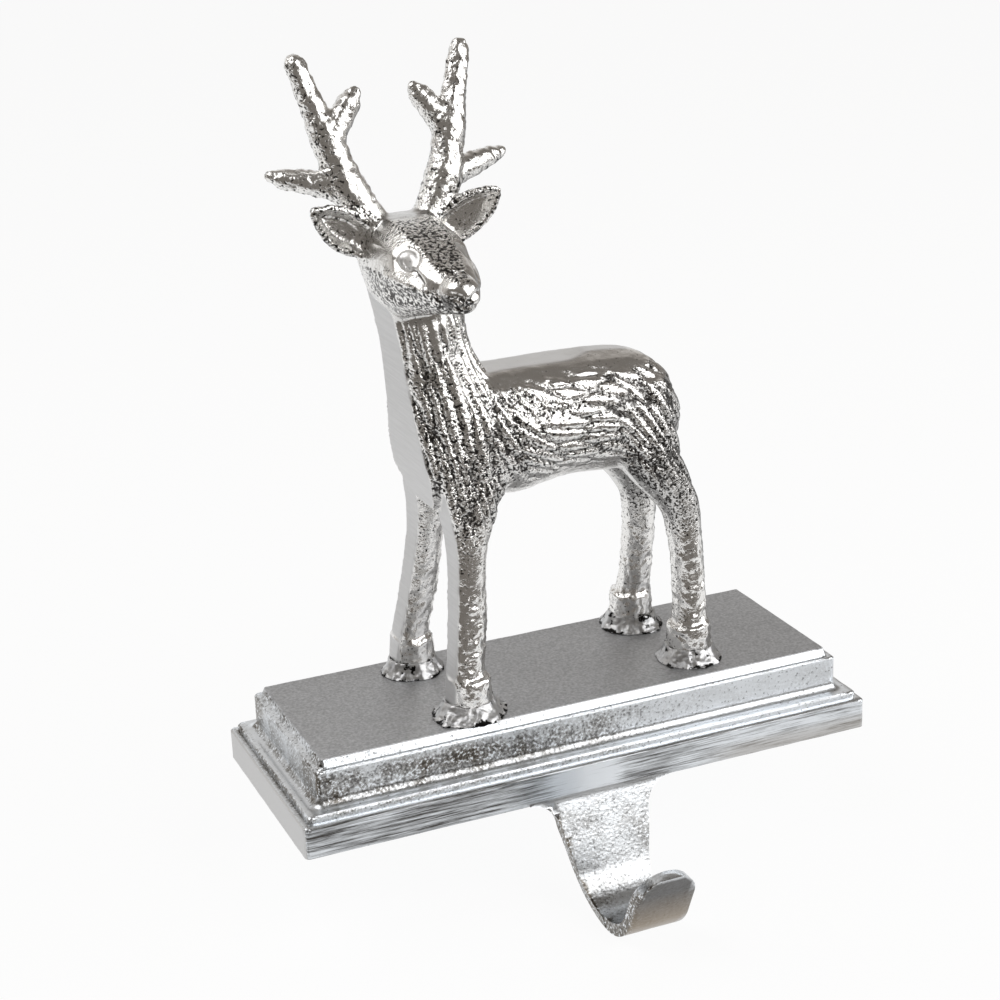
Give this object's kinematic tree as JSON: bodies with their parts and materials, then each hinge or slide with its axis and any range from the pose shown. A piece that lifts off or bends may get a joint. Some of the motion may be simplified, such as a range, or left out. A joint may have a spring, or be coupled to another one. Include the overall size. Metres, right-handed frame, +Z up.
{
  "type": "mantel stocking holder",
  "caption": "Cast metal deer standing on a moulded rectangular base that rests on a mantel, with a broad hook below its front edge to hang a stocking from.",
  "frame": {"origin": "middle of the flat underside of the base, where it rests on the mantel", "axes": "+Z up, X along the base with the deer's chest towards -X, -Y towards the front, where the hook hangs below the mantel's edge"},
  "size_m": [0.16, 0.1034, 0.2183],
  "materials": {
    "cast_aluminium": "sand-cast and bright, with sanded flats",
    "weld_aluminium": "rough weld bead"
  },
  "bodies": {
    "root": {"base_with_hook": "cast_aluminium", "deer": "cast_aluminium", "hoof_welds": "weld_aluminium"}
  },
  "joints": []
}
